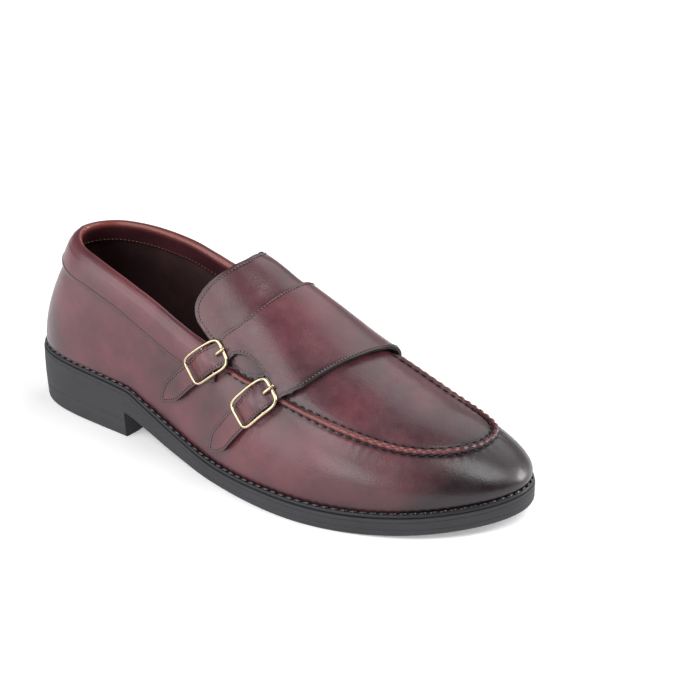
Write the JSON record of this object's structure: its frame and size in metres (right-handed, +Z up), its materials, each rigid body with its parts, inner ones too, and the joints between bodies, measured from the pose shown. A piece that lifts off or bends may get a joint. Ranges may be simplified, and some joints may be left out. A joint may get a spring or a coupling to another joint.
{
  "type": "monk strap shoe",
  "caption": "Low leather shoe for the right foot with a raised apron seam, a saddle over the instep and buckled straps on the outer side, on a low-heeled sole.",
  "frame": {"origin": "on the floor, at the centre of the box round the shoe's outline seen from above", "axes": "+X from heel to toe, +Y toward the inner side of the foot, +Z up"},
  "size_m": [0.3, 0.1089, 0.1106],
  "materials": {
    "burgundy_leather": "polished calf leather, burnished darker at the toe",
    "sole_rubber": "matt black moulded rubber",
    "welt_black": "matt black, stitched",
    "sock_leather": "smooth brown sock leather",
    "pale_brass": "polished pale gold plating"
  },
  "bodies": {
    "root": {"sole": "sole_rubber", "welt": "welt_black", "insole": "sock_leather", "upper": "burgundy_leather", "collar_band": "burgundy_leather", "apron_bead": "burgundy_leather", "tongue": "burgundy_leather", "saddle": "burgundy_leather", "buckle_frame_rear": "pale_brass", "buckle_frame_front": "pale_brass", "buckle_prong_rear": "pale_brass", "buckle_prong_front": "pale_brass"}
  },
  "joints": []
}
